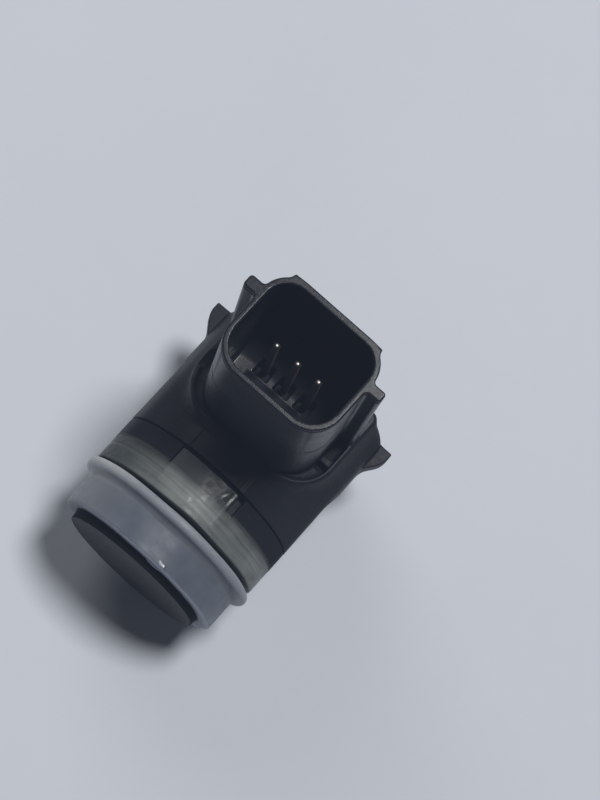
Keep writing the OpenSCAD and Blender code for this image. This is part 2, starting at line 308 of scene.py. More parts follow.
def cut_recess(body, x, y, z):
    """The body with the recess round the shroud, a web across its right side and a notch at its left."""
    y0, half_w = boss_edges(x)
    front = y0 + LIP_W + np.where(x < 0, 0.0, 0.15)
    recess = outline(x, y, half_w - LIP_W, front, RECESS_Y1, 3.5, 0.4)
    behind = np.where(x < 0, RECESS_LEFT, RECESS_RIGHT) - RECESS_FRONT
    depth = RECESS_FRONT + behind * share(y, RECESS_STEP_Y, 0.4)
    body = round_cut(body, round_common(recess, BOSS_Z - depth - z, 0.5), 0.15)
    body = fillet_union(body, brick(x, y, z, WEB_LOW, WEB_HIGH, 0.14), 0.15)
    notch = length((x - NOTCH_AT[0]) / NOTCH_HALF[0], (y - NOTCH_AT[1]) / NOTCH_HALF[1]) - 1
    notch = round_common(notch * 0.6, BOSS_Z - NOTCH_DEPTH - z, 0.2)
    return round_cut(body, notch, 0.12)


def shroud(x, y, z):
    """The connector shroud as a solid post, flared a little downwards."""
    flare = SHROUD_FLARE * (RIM_Z - z)
    tube = outline(x, y, SHROUD_HALF_W + flare, SHROUD_Y0 - flare, SHROUD_Y1, *SHROUD_CORNER_R)
    plate = rect(x, y - SHROUD_Y1 + PLATE_T / 2, PLATE_HALF_W, PLATE_T / 2, 0.16)
    tube = fillet_union(tube, plate, 0.3)
    for side, y0, y1 in RIBS:
        rib = rect(side * x - SHROUD_HALF_W - 0.3, y - (y0 + y1) / 2, RIB_HALF_X, (y1 - y0) / 2, 0.34)
        tube = fillet_union(tube, rib, 0.34)
    tube = tube + RIM_GROOVE_DEPTH * bell((z - RIM_Z + RIM_GROOVE_DROP) / RIM_GROOVE_W)
    return np.maximum(round_common(tube, z - RIM_Z + INSET / 2, 0.15), SHROUD_ROOT_Z - z)


def cut_socket(body, x, y, z):
    """The body with the socket and the pockets in front of the pins."""
    draw = SOCKET_DRAW * (RIM_Z - z)
    y0 = SHROUD_Y0 + SHROUD_WALL + 0.3 * draw
    y1 = SHROUD_Y1 - SHROUD_WALL - 0.3 * draw
    inside = outline(x, y, SHROUD_HALF_W - SHROUD_WALL - draw, y0, y1, *SOCKET_CORNER_R)
    body = round_cut(body, round_common(inside, FLOOR_Z - z, 0.3), 0.13)
    for k in (-1, 0, 1):
        low = (k * PIN_PITCH - POCKET_HALF_W, POCKET_Y[0], POCKET_Z[0])
        high = (k * PIN_PITCH + POCKET_HALF_W, POCKET_Y[1], POCKET_Z[1])
        body = round_cut(body, brick(x, y, z, low, high, 0.08), 0.06)
    return body


def housing_field(x, y, z):
    """The round body, the boss with its recess, the barbs, the connector shroud and the bore."""
    body = fillet_union(round_body(x, y, z), boss(x, y, z), 1.0)
    for side in (-1, 1):
        body = fillet_union(body, barb(x, y, z, side), 0.45 - 0.3 * share(z, 0.3, 0.8))
    body = cut_recess(body, x, y, z)
    body = fillet_union(body, shroud(x, y, z), 0.3)
    body = cut_socket(body, x, y, z)
    body = np.maximum(body, BORE_R - length(x, z))
    return round_common(body, y - BODY_Y1 + INSET, 0.3)


# ---------------------------------------------------------------- the other pieces' fields

def collar_field(x, y, z):
    """The retaining collar with its two windows and the skirt inside the housing."""
    ring = turned(x, y, z, COLLAR_R, COLLAR_LOW[1], SEAM_Y, 0.02, 0.1)
    skirt = turned(x, y, z, BORE_R - 0.1, SEAM_Y - 1, COLLAR_HIGH[1], 0.1, 0.3)
    solid = np.maximum(np.minimum(ring, skirt), COLLAR_IN_R - length(x, z))
    seat = turned(x, y, z, SLEEVE_R + WINDOW_GAP, COLLAR_LOW[1] - 1, INNER_HIGH[1] + WINDOW_GAP, 0.1, 0.1)
    solid = round_cut(solid, seat, 0.06)
    window = rect(x - WINDOW_X, y - WINDOW_Y, WINDOW_HALF_W, INNER_HIGH[1] + WINDOW_GAP - WINDOW_Y, 0.12)
    return round_cut(solid, np.maximum(window, WINDOW_ROOT_Z - np.abs(z)), 0.08)


def key_field(x, y, z):
    """The keys: a crowned top with a few creases, a small mound and a raised edge at +X."""
    key = rect(x - KEY_AT[0], y - KEY_AT[1], *KEY_HALF, 0.2)
    key = np.maximum(key, WINDOW_ROOT_Z - np.abs(z))
    crease = np.sin(5.3 * x + 2.2 * y) * np.sin(4.4 * y - 2.6 * x + 1) + 0.6 * np.sin(9 * x - 5 * y)
    crease = 0.012 * crease * bell((x - KEY_CREASES[0]) / 0.6, (y - KEY_CREASES[1]) / 0.7)
    edge = (0.02 + 0.035 * share(y, 9.2, 0.4)) * share(x, 3.05, 0.2)
    mound = 0.016 * bell((x - KEY_MOUND[0]) / 0.25, (y - KEY_MOUND[1]) / 0.25)
    crown = COLLAR_R - 0.024 - x * x / (2 * COLLAR_R)
    return round_common(key, np.abs(z) - crown + crease - edge - mound, 0.1)


def inner_ring_field(x, y, z):
    """The fixed translucent ring: a bevelled, slightly wavy front and a raised key in each window."""
    y = y - 0.05 * np.clip(7.0 - y, 0, 1) - wave(x, z, 0.07) * np.clip(7.2 - y, 0, 1)
    front = turned(x, y, z, COLLAR_R - 0.03, INNER_LOW[1] + INSET, COLLAR_LOW[1] + RING_OVERLAP, 0.14, 0.02)
    front = front + 0.05 * bell((y - RING_LINE_Y) / 0.11)
    sleeve = turned(x, y, z, SLEEVE_R, COLLAR_LOW[1] - 0.5, INNER_HIGH[1], 0.1, 0.1)
    solid = fillet_union(np.minimum(front, sleeve), key_field(x, y, z), 0.06)
    solid = np.maximum(solid, FACE_R + 0.05 - length(x, z))
    return np.maximum(solid, -turned(x, y, z, FACE_R + POT_RIM_W + 0.05, *POT_SEAT_Y, 0.02, 0.02))


def nose_field(x, y, z):
    """The slip-on decoupling ring: a soft-edged barrel with a flange at its back, a touch askew."""
    y = y - NOSE_LEAN * np.maximum(0, -x - 1)
    barrel = turned(x, y, z, NOSE_BARREL_R, NOSE_LOW[1], NOSE_HIGH[1] - 0.25, 0.3, 0.2)
    back = NOSE_HIGH[1] - 0.06 + wave(x, z, 0.05)
    flange = turned(x, y, z, NOSE_HIGH[0] - INSET, NOSE_FLANGE_Y0, back, 0.42, 0.42)
    solid = fillet_union(barrel, flange, 0.7)
    right, behind, above = x - NOSE_GATE[0], y - NOSE_GATE[1], z - NOSE_GATE[2]
    gate = rect(right, behind, *NOSE_GATE_HALF, 0.25)
    gate = round_common(gate, above + NOSE_GATE_TILT[0] * right + NOSE_GATE_TILT[1] * behind, 0.16)
    solid = fillet_union(solid, np.maximum(gate, 8.5 - z), 0.05)
    solid = round_cut(solid, length(x, z) - FACE_R - NOSE_BORE_GAP, 0.1)
    scar = length(*((t - at) / half for t, at, half in zip((x, y, z), NOSE_SCAR, NOSE_SCAR_HALF))) - 1
    return fillet_union(solid, scar * NOSE_SCAR_HALF[1], 0.04)


def pot_field(x, y, z):
    """The aluminium pot: a cup with a closed front and a small flange at its back."""
    cup = turned(x, y, z, FACE_R, INSET / 2, POT_HIGH[1], 0.14, 0.1)
    rim = turned(x, y, z, FACE_R + POT_RIM_W, POT_HIGH[1] - POT_RIM_T, POT_HIGH[1], 0.1, 0.1)
    solid = fillet_union(cup, rim, 0.1)
    return round_cut(solid, turned(x, y, z, FACE_R - POT_WALL, POT_FRONT_T, POT_HIGH[1] + 2, 0.2, 0.2), 0.05)


def cover_field(x, y, z):
    """The back cover, with a shallow ring-shaped recess and a gate mark."""
    disc = turned(x, y, z, BORE_R - 0.05, COVER_LOW[1], COVER_Y1, 0.1, 0.25)
    recess = np.abs(length(x, z) - COVER_RECESS_R) - COVER_RECESS_HALF_W
    disc = round_cut(disc, round_common(recess, COVER_Y1 - COVER_RECESS_DEPTH - y, 0.2), 0.12)
    gate = turned(x, y, z, COVER_GATE_R, 25.5, COVER_HIGH[1], 0.02, 0.12)
    return fillet_union(disc, gate, 0.1)


def pin_field(x, y, z):
    """A square terminal pin with a rounded point."""
    side = rect(x, y - PIN_Y, PIN_SIDE / 2, PIN_SIDE / 2, 0.08)
    point = length(x, y - PIN_Y, (z - PIN_HIGH[2] + 0.55) * 0.62) - 0.34
    tip = np.where(z > PIN_HIGH[2] - PIN_POINT_LENGTH, np.maximum(side, point), side)
    return round_common(tip, np.maximum(z - PIN_HIGH[2], PIN_LOW[2] - z), 0.08)


# ---------------------------------------------------------------- meshes from the fields

def sample(field, points):
    """The field at many points, a million at a time."""
    out = np.empty(len(points), np.float32)
    step = 1 << 20
    for i in range(0, len(points), step):
        p = points[i:i + step]
        out[i:i + step] = field(p[:, 0], p[:, 1], p[:, 2])
    return out


def gradient(field, points, h=0.01):
    """Unit outward direction of the field at many points."""
    g = np.empty_like(points)
    for axis in range(3):
        shift = np.zeros(3, np.float32)
        shift[axis] = h
        g[:, axis] = sample(field, points + shift) - sample(field, points - shift)
    return g / np.maximum(np.linalg.norm(g, axis=1, keepdims=True), 1e-9)


def sample_grid(field, low, counts, cell):
    """The field on a grid. Blocks that the surface can't reach get only their sign."""
    side = 4
    reach = side * cell * 1.6
    blocks = [n // side + 1 for n in counts]
    centre = [low[i] + (np.arange(blocks[i]) * side + side / 2 - 0.5) * cell for i in range(3)]
    points = np.stack(np.meshgrid(*centre, indexing="ij"), -1).reshape(-1, 3).astype(np.float32)
    coarse = sample(field, points).reshape(blocks)
    full = np.sign(coarse)
    for axis in range(3):
        full = np.repeat(full, side, axis)
    near = np.argwhere(np.abs(coarse) < reach)
    offsets = np.stack(np.meshgrid(*[np.arange(side)] * 3, indexing="ij"), -1).reshape(-1, 3)
    index = (near[:, None, :] * side + offsets[None]).reshape(-1, 3)
    values = sample(field, (low + index * cell).astype(np.float32))
    full[index[:, 0], index[:, 1], index[:, 2]] = values
    return full[:counts[0], :counts[1], :counts[2]]


CORNERS = [(i, j, k) for i in (0, 1) for j in (0, 1) for k in (0, 1)]


def shifted(array, corner):
    """The array's cells as seen from one of their eight corners."""
    i, j, k = corner
    a, b, c = array.shape
    return array[i:a - 1 + i, j:b - 1 + j, k:c - 1 + k]


def surface_net(values):
    """One point in each cell that the surface crosses, and a quad for each crossed grid edge."""
    inside = values < 0
    total = sum(shifted(inside, c).astype(np.int8) for c in CORNERS)
    crossed = (total > 0) & (total < 8)
    number = np.full(crossed.shape, -1, np.int64)
    cells = np.argwhere(crossed)
    number[crossed] = np.arange(len(cells))
    where = np.zeros((len(cells), 3))
    hits = np.zeros(len(cells))
    corner_value = {c: values[tuple((cells + c).T)] for c in CORNERS}
    for c in CORNERS:
        for axis in range(3):
            if c[axis]:
                continue
            d = tuple(1 if n == axis else c[n] for n in range(3))
            a, b = corner_value[c], corner_value[d]
            hit = (a < 0) != (b < 0)
            point = np.tile(np.array(c, float), (len(cells), 1))
            point[:, axis] += np.where(hit, a / np.where(hit, a - b, 1), 0)
            where += point * hit[:, None]
            hits += hit
    vertices = cells + where / hits[:, None]
    quads = []
    for axis in range(3):
        b, c = (axis + 1) % 3, (axis + 2) % 3
        first = inside.take(range(inside.shape[axis] - 1), axis)
        second = inside.take(range(1, inside.shape[axis]), axis)
        edges = np.argwhere(first != second)
        edges = edges[(edges[:, b] > 0) & (edges[:, c] > 0)]
        edges = edges[(edges[:, b] < values.shape[b] - 1) & (edges[:, c] < values.shape[c] - 1)]
        ring = []
        for db, dc in ((-1, -1), (0, -1), (0, 0), (-1, 0)):
            cell = edges.copy()
            cell[:, b] += db
            cell[:, c] += dc
            ring.append(number[tuple(cell.T)])
        quad = np.stack(ring, 1)
        leaving = inside[tuple(edges.T)]
        quads.append(np.where(leaving[:, None], quad, quad[:, ::-1]))
    return vertices, np.concatenate(quads)


def thin_mesh(mesh, ratio):
    """The mesh with its flat stretches simplified to about this share of its faces."""
    carrier = bpy.data.objects.new("thin", mesh)
    bpy.context.scene.collection.objects.link(carrier)
    modifier = carrier.modifiers.new("thin", "DECIMATE")
    modifier.ratio = ratio
    bpy.context.view_layer.update()
    thinned = carrier.evaluated_get(bpy.context.evaluated_depsgraph_get())
    made = bpy.data.meshes.new_from_object(thinned)
    bpy.data.objects.remove(carrier)
    bpy.data.meshes.remove(mesh)
    return made


def make_piece(name, field, low, high, cell, keep=1.0):
    """An object whose surface is the field's, with the field's own normals. keep is thin_mesh's ratio."""
    margin = 2.5 * cell
    low = np.array(low, float) - margin
    counts = [int(n) for n in np.ceil((np.array(high, float) + margin - low) / cell)]
    vertices, quads = surface_net(sample_grid(field, low, counts, cell))
    points = (low + vertices * cell).astype(np.float32)
    for _ in range(3):
        off = np.clip(sample(field, points), -cell / 2, cell / 2)
        points -= gradient(field, points) * off[:, None]
    mesh = bpy.data.meshes.new(name)
    mesh.from_pydata(points.astype(float).tolist(), [], quads.tolist())
    mesh.update()
    if keep < 1:
        mesh = thin_mesh(mesh, keep)
        mesh.name = name
    points = np.empty(len(mesh.vertices) * 3, np.float32)
    mesh.vertices.foreach_get("co", points)
    points = points.reshape(-1, 3)
    normals = gradient(field, points)
    mesh.vertices.foreach_set("co", (points * MM).ravel())
    mesh.polygons.foreach_set("use_smooth", np.ones(len(mesh.polygons), bool))
    mesh.update()
    mesh.normals_split_custom_set_from_vertices(normals.tolist())
    piece = bpy.data.objects.new(name, mesh)
    bpy.context.scene.collection.objects.link(piece)
    return piece


# ---------------------------------------------------------------- materials

def colour(r, g, b):
    return (r, g, b, 1.0)


def scaled(tone, factor):
    """A colour made lighter or darker."""
    return colour(*(factor * c for c in tone[:3]))


class Finish:
    """A Principled material with small helpers for its procedural detail."""

    def __init__(self, name, **inputs):
        self.material = bpy.data.materials.new(name)
        self.material.use_nodes = True
        self.tree = self.material.node_tree
        self.shader = self.tree.nodes["Principled BSDF"]
        self.place = self.tree.nodes.new("ShaderNodeTexCoord").outputs["Object"]
        for key, value in inputs.items():
            self.shader.inputs[key.replace("_", " ")].default_value = value

    def connect(self, made, socket, source):
        """Feeds an input of a node from another node's output, or sets it to a plain value."""
        if isinstance(source, bpy.types.NodeSocket):
            self.tree.links.new(source, made.inputs[socket])
        else:
            made.inputs[socket].default_value = source

    def node(self, kind, links=None, **values):
        made = self.tree.nodes.new(kind)
        for key, value in values.items():
            setattr(made, key, value)
        for socket, source in (links or {}).items():
            self.connect(made, socket, source)
        return made

    def axes(self):
        """The x, y and z of the point that is shaded, in metres."""
        return self.node("ShaderNodeSeparateXYZ", {0: self.place}).outputs

    def noise(self, size_mm, detail=2.0, stretch=(1, 1, 1)):
        """Noise whose features are about size_mm across."""
        where = self.node("ShaderNodeMapping", {"Vector": self.place, "Scale": stretch}).outputs[0]
        links = {"Vector": where, "Scale": 1 / (size_mm * MM), "Detail": detail}
        return self.node("ShaderNodeTexNoise", links).outputs["Fac"]

    def spread(self, value, low, high, from_low=0.3, from_high=0.7):
        """value, mapped from from_low..from_high (noise's usual range) to low..high and held there."""
        links = {"Value": value, "From Min": from_low, "From Max": from_high, "To Min": low, "To Max": high}
        return self.node("ShaderNodeMapRange", links).outputs["Result"]

    def rise(self, value, start_mm, end_mm, low=0.0, high=1.0):
        """low up to the place start_mm, high from end_mm on, and a ramp between."""
        return self.spread(value, low, high, start_mm * MM, end_mm * MM)

    def fall(self, value, start_mm, end_mm, high=1.0, low=0.0):
        """high up to the place start_mm, low from end_mm on, and a ramp between."""
        return self.spread(value, high, low, start_mm * MM, end_mm * MM)

    def math(self, operation, a, b=0.0):
        return self.node("ShaderNodeMath", {0: a, 1: b}, operation=operation).outputs[0]

    def times(self, first, *others):
        """The product of several values."""
        for other in others:
            first = self.math("MULTIPLY", first, other)
        return first

    def off(self, value, at_mm):
        """How far a coordinate is from a place, either way, in metres."""
        return self.math("ABSOLUTE", self.math("SUBTRACT", value, at_mm * MM))

    def mix(self, share_of_b, a, b):
        """Colour a turning to colour b as share_of_b goes from 0 to 1."""
        made = self.node("ShaderNodeMix", data_type="RGBA")
        for index, source in ((0, share_of_b), (6, a), (7, b)):
            self.connect(made, index, source)
        return made.outputs[2]

    def set(self, socket, value):
        self.tree.links.new(value, self.shader.inputs[socket])

    def bump(self, height, depth_mm, strength=1.0, below=None):
        links = {"Height": height, "Distance": depth_mm * MM, "Strength": strength}
        if below is not None:
            links["Normal"] = below
        return self.node("ShaderNodeBump", links).outputs[0]


BLACK = colour(0.0115, 0.013, 0.0175)
WORN = colour(0.017, 0.019, 0.024)
DUST = colour(0.10, 0.105, 0.12)
# painted light: the pale tone of the painted light patches on the shroud and in the recess left of the boss
PAINTED_LIGHT_TONE = colour(0.075, 0.08, 0.09)
# painted shade: the near black painted along the foot of the parting line's step
LINE_SHADE = colour(0.0003, 0.0003, 0.0005)


def plastic_tone(f, cloud):
    """Black plastic with paler handling clouds, specks of dust and fine scuffs along Y."""
    tone = f.mix(f.spread(cloud, 0.0, 0.6), BLACK, WORN)
    specks = f.spread(f.noise(0.22, 0), 0.0, 0.4, 0.76, 0.86)
    tone = f.mix(f.times(specks, f.spread(cloud, 0.0, 1.0)), tone, DUST)
    scuff = f.spread(f.noise(0.5, 4, stretch=(1, 0.12, 1)), 0.0, 0.3, 0.6, 0.78)
    return f.mix(scuff, tone, WORN)


def parting_line(f, line_z):
    """Where the mould's broken parting line shows at the height line_z, and the normal of its small step."""
    x, y, z = f.axes()
    half_width = f.rise(f.math("ABSOLUTE", x), 3.5, 6.5, 0.16 * MM, 0.5 * MM)
    above = f.math("DIVIDE", f.math("SUBTRACT", z, line_z * MM), half_width)
    broken = f.times(f.spread(f.noise(2.2, 1), 0.0, 1.0, 0.41, 0.47), f.fall(y, 21.3, 21.6))
    line = f.times(f.spread(f.math("ABSOLUTE", above), 1.0, 0.0, 0.5, 1.0), broken)
    return line, f.bump(f.spread(above, 0.0, 1.0, -1.0, 1.0), 0.2, broken)


def inside_socket(f):
    """1 inside the socket and 0 on the shroud's outer faces."""
    x, y, _ = f.axes()
    return f.times(f.fall(f.math("ABSOLUTE", x), 5.4, 5.6), f.rise(y, 15.9, 16.1))


def flank_gain(f):
    """How much rougher the round body's flanks are."""
    x, _, z = f.axes()
    right = f.times(f.rise(x, 6.5, 9.5, 0.0, 0.32), f.fall(x, 9.9, 10.2))
    left = f.times(f.fall(x, -8.0, -6.5, 0.26), f.rise(x, -9.3, -8.6))
    return f.times(f.math("ADD", left, right), f.fall(z, 8.9, 9.2))


def wall_loss(f):
    """How much smoother the outside of the shroud's side walls is."""
    x, _, z = f.axes()
    tall = f.times(f.rise(z, 9.6, 12, 0.0, 0.15), f.fall(z, 27.8, 28.1))
    aside = f.rise(f.math("ABSOLUTE", x), 2, 5)
    return f.times(tall, aside, f.math("SUBTRACT", 1.0, inside_socket(f)))


def floor_polish(f, floor_z, line_y):
    """1 where the socket's floor is polished, which ends at about line_y, and below 0 where it is dull."""
    x, y, z = f.axes()
    front = f.rise(y, line_y - 0.95, line_y - 0.8)
    beside = f.fall(x, -3.95, -3.75)
    bright = f.times(f.math("MAXIMUM", front, beside), f.fall(x, 2.8, 3.0))
    bright = f.math("SUBTRACT", f.times(bright, 2.2), 1.2)
    bright = f.math("MINIMUM", bright, f.fall(y, line_y - 0.4, line_y + 0.3, 1.0, -1.2))
    return f.times(f.fall(f.off(z, floor_z), 0.3, 0.8), bright, inside_socket(f))


def moulded_plastic(name, roughness=0.5, shine=0.14, smoky_edge_light=None, line_z=None, edges=(), painted_light_patches=(), floor=None):
    """Dark moulded plastic: fine spark-eroded grain, handling marks and a little pale dust.
    smoky_edge_light is (y0, y1, colour): painted light, the colour up to y0, turning to the plastic's own
    dark by y1, in place of light seen through a thin smoky front edge. line_z is the parting line's height,
    where painted shade runs along its small step. edges holds (z, gain): at that height the faces are rubbed
    smoother.
    painted_light_patches are pale patches of painted light, each (place, radius, share). floor is (z, y): the
    socket's floor, whose front corner and dividers are polished in front of y and whose rest is duller."""
    f = Finish(name, Specular_IOR_Level=shine)
    _, y, z = f.axes()
    cloud = f.noise(3.5, 3)
    tone = plastic_tone(f, cloud)
    patchy = f.math("ADD", f.times(f.noise(0.35, 3), 0.5), f.times(cloud, 0.5))
    rough = f.spread(patchy, roughness - 0.09, roughness + 0.1)
    step = None
    grain_strength = 0.5
    # painted light: the collar's front edge is painted paler and green-grey, in place of light seen through
    # the thin smoky plastic
    if smoky_edge_light:
        y0, y1, thin = smoky_edge_light
        tone = f.mix(f.rise(y, y0, y1), thin, tone)
    # painted shade: the parting line is painted near black along the foot of its small step
    if line_z is not None:
        line, step = parting_line(f, line_z)
        tone = f.mix(line, tone, LINE_SHADE)
        rough = f.math("ADD", rough, f.times(line, 0.3))
    rough = f.math("SUBTRACT", f.math("ADD", rough, flank_gain(f)), wall_loss(f))
    for height, gain in edges:
        rough = f.math("SUBTRACT", rough, f.fall(f.off(z, height), 0.12, 0.3, gain))
    # painted light: pale patches painted on as highlights on the shroud's upper left side and right front
    # corner, and as lighter shade in the recess left of the boss
    for place, radius, most in painted_light_patches:
        centre = [t * MM for t in place]
        away = f.node("ShaderNodeVectorMath", {0: f.place, 1: centre}, operation="DISTANCE").outputs["Value"]
        light_patch_breakup = f.spread(f.noise(1.1, 4), 0.35, 1.0, 0.4, 0.6)
        tone = f.mix(f.times(f.fall(away, 0.3 * radius, radius, most), light_patch_breakup), tone, PAINTED_LIGHT_TONE)
    if floor:
        polish = floor_polish(f, *floor)
        rough = f.math("SUBTRACT", rough, f.times(polish, 0.25))
        grain_strength = f.spread(polish, 0.5, 0.1, 0.0, 1.0)
    f.set("Base Color", tone)
    f.set("Roughness", rough)
    grain = f.bump(f.noise(0.09, 1), 0.012, grain_strength, below=step)
    f.set("Normal", f.bump(f.noise(1.6, 2), 0.03, 0.35, below=grain))
    return f.material


def silicone(name, clear, cloudy, roughness, radius_mm, streak, painted_back_shading, left, gloss, rim=None, key=None):
    """Translucent silicone: light runs a millimetre or so inside it, and it is a little cloudy.
    streak is the share of its clouds that is drawn out round it. painted_back_shading is (y0, y1, colour):
    painted light and shade, the colour that it takes from y0 on. left holds the front's and the back's
    painted shading towards its -X side, the side away from the high lamp. gloss holds smooth spots, each (x,
    y, half_x, half_y).
    rim is (y, colour): a painted highlight along the front edge up to y. key is (half_x, y, colour): from y
    back, within half_x of the middle, it is painted a little paler, as painted light."""
    f = Finish(name, IOR=1.41, Subsurface_Weight=1.0, Subsurface_Scale=radius_mm * MM,
               Subsurface_Radius=(1.0, 1.05, 1.15), Specular_IOR_Level=0.4)
    f.shader.subsurface_method = "RANDOM_WALK"
    x, y, _ = f.axes()
    cloud = f.noise(2.4, 3, stretch=(1, 0.6, 1))
    drawn = f.noise(0.6, 3, stretch=(0.12, 1.6, 0.12))
    blend = f.math("ADD", f.times(cloud, 1 - streak), f.times(drawn, streak))
    tone = f.mix(f.spread(blend, 0.0, 1.0, 0.35, 0.65), clear, cloudy)
    # painted light: the keys and the band of ring in front of them are painted a little paler, as they catch
    # more light
    if key:
        half_x, key_y, key_highlight_tone = key
        within = f.fall(f.math("ABSOLUTE", x), half_x - 0.1, half_x + 0.1, 0.09)
        tone = f.mix(f.times(within, f.rise(y, key_y - 0.1, key_y + 0.1)), tone, key_highlight_tone)
    # painted light and shade: the front and the back take another tone towards -X, the side away from the
    # high lamp
    front_left_shading, back_left_shading = left
    # painted light and shade: from y0 on the ring takes a painted tone, paler on the slip-on ring's flange
    # and darker on the fixed ring's sleeve deep in the windows
    y0, y1, painted_back_tone = painted_back_shading
    tone = f.mix(f.fall(x, -9.5, -3), tone, front_left_shading)
    back = f.mix(f.fall(x, -9.0, -4), painted_back_tone, back_left_shading)
    tone = f.mix(f.rise(y, y0, y1), tone, back)
    # painted highlight: a pale line painted along the front edge, where it catches the light
    if rim:
        highlight_y, pale = rim
        tone = f.mix(f.fall(y, highlight_y - 0.1, highlight_y, 0.7), tone, pale)
    smooth = 0.0
    for at_x, at_y, half_x, half_y in gloss:
        reach = [f.math("POWER", f.math("DIVIDE", f.math("SUBTRACT", t, at * MM), half * MM), 2.0)
                 for t, at, half in ((x, at_x, half_x), (y, at_y, half_y))]
        smooth = f.math("MAXIMUM", smooth, f.spread(f.math("ADD", *reach), 1.0, 0.0, 0.4, 1.2))
    rough = f.spread(f.noise(0.7, 3), roughness - 0.1, roughness + 0.14)
    f.set("Base Color", tone)
    f.set("Roughness", f.math("SUBTRACT", rough, f.times(smooth, roughness - 0.2)))
    ripple = f.bump(drawn, 0.012, 0.25 * streak)
    f.set("Normal", f.bump(f.noise(0.9, 2), 0.03, 0.25, below=ripple))
    return f.material


def painted_pot(name, face, side):
    """Satin paint on the aluminium pot: grey on the sounding face, black round its side."""
    f = Finish(name, Specular_IOR_Level=0.12)
    x, _, z = f.axes()
    off_axis = f.math("SQRT", f.math("ADD", f.math("POWER", x, 2.0), f.math("POWER", z, 2.0)))
    edge = f.rise(off_axis, FACE_R - 0.14, FACE_R - 0.06)
    tone = f.mix(f.spread(f.noise(5, 3), 0.0, 1.0), face, scaled(face, 1.3))
    f.set("Base Color", f.mix(edge, tone, side))
    satin = f.spread(f.noise(0.6, 3), 0.42, 0.54)
    f.set("Roughness", f.math("ADD", satin, f.times(edge, 0.35)))
    f.set("Normal", f.bump(f.noise(0.25, 1), 0.006, 0.4))
    return f.material


def metal(name, base, roughness, darker_below=None):
    """Plated metal, drawn along Z, with a few dull patches. Below the height darker_below it is browner and
    darker.
    """
    f = Finish(name, Metallic=1.0)
    tone = f.mix(f.spread(f.noise(0.8, 3), 0.0, 0.5), base, scaled(base, 0.55))
    if darker_below is not None:
        _, _, z = f.axes()
        # browner and darker below this height
        tone = f.mix(f.rise(z, darker_below - 0.3, darker_below), colour(0.42, 0.34, 0.34), tone)
    f.set("Base Color", tone)
    f.set("Roughness", f.spread(f.noise(0.3, 3), roughness - 0.08, roughness + 0.16))
    f.set("Normal", f.bump(f.noise(0.12, 2, stretch=(1, 1, 0.06)), 0.006, 0.5))
    return f.material


def matt_part(name, base, other, size_mm, roughness):
    """A plain inner part: two tones in patches of size_mm, with its own grain."""
    f = Finish(name)
    f.set("Base Color", f.mix(f.spread(f.noise(size_mm, 3), 0.0, 1.0), base, other))
    f.set("Roughness", f.spread(f.noise(size_mm * 0.6, 2), roughness - 0.1, roughness + 0.1))
    f.set("Normal", f.bump(f.noise(size_mm * 0.5, 2), 0.01, 0.5))
    return f.material


# ---------------------------------------------------------------- camera and light

def direction(azimuth, elevation):
    """Unit vector from the object. Azimuth 0 is behind it (+Y), 90 is its right (+X)."""
    turn, rise = math.radians(azimuth), math.radians(elevation)
    return Vector((math.sin(turn) * math.cos(rise), math.cos(turn) * math.cos(rise), math.sin(rise)))


def add_camera():
    """The camera looks steeply down on the connector, from in front and a little to the right."""
    target = Vector((1.0, 24.3, 0.0)) * MM
    distance = 241.2 * MM
    roll = math.radians(27.9)
    away = direction(azimuth=180 - 13.9, elevation=76.1)
    level = (-away).to_track_quat("-Z", "Y").to_matrix().to_4x4()
    camera = bpy.data.objects.new("camera", bpy.data.cameras.new("camera"))
    camera.matrix_world = Matrix.Translation(target + away * distance) @ level @ Matrix.Rotation(roll, 4, "Z")
    camera.data.lens = 108
    camera.data.sensor_width = 36
    camera.data.sensor_fit = "AUTO"
    camera.data.clip_start = 0.01
    bpy.context.scene.collection.objects.link(camera)
    bpy.context.scene.camera = camera


def add_lamp(name, azimuth, elevation, size, power):
    """A round soft lamp, size metres across, a metre from the object and aimed at it."""
    away = direction(azimuth, elevation)
    lamp = bpy.data.lights.new(name, "AREA")
    lamp.shape = "DISK"
    lamp.size = size
    lamp.energy = power
    holder = bpy.data.objects.new(name, lamp)
    holder.location = Vector((0, 13 * MM, 0)) + away
    holder.rotation_euler = away.to_track_quat("Z", "Y").to_euler()
    bpy.context.scene.collection.objects.link(holder)


def add_floor():
    """A pale floor at the lowest point of the object."""
    z = cad_box[0][2]
    half = 3.0
    corners = [(-half, -half, z), (half, -half, z), (half, half, z), (-half, half, z)]
    mesh = bpy.data.meshes.new("floor")
    mesh.from_pydata(corners, [], [(0, 1, 2, 3)])
    floor = bpy.data.objects.new("floor", mesh)
    bpy.context.scene.collection.objects.link(floor)
    f = Finish("pale_floor", Specular_IOR_Level=0.2)
    dim, light = colour(0.60, 0.635, 0.70), colour(0.63, 0.665, 0.73)
    f.set("Base Color", f.mix(f.spread(f.noise(60, 3), 0.0, 1.0), dim, light))
    f.set("Roughness", f.spread(f.noise(2, 3), 0.7, 0.85))
    mesh.materials.append(f.material)


def add_light():
    """A high lamp a little behind the object, a weak one on its left and a dim sky."""
    add_lamp("high_lamp", azimuth=22, elevation=71.5, size=0.25, power=7.3)
    add_lamp("side_lamp", azimuth=305, elevation=35, size=0.6, power=2.05)
    world = bpy.data.worlds.new("dim_sky")
    world.use_nodes = True
    background = world.node_tree.nodes["Background"]
    background.inputs["Color"].default_value = (0.9, 0.94, 1.0, 1.0)
    background.inputs["Strength"].default_value = 0.05
    bpy.context.scene.world = world


def set_film():
    """Plain sRGB, with the faint veil that a pale room throws over the blacks."""
    view = bpy.context.scene.view_settings
    view.view_transform = "Standard"
    view.use_curve_mapping = True
    for curve, veil in zip(view.curve_mapping.curves, (0.0100, 0.0125, 0.0185)):
        curve.points[0].location = (0.0, veil)
    view.curve_mapping.update()


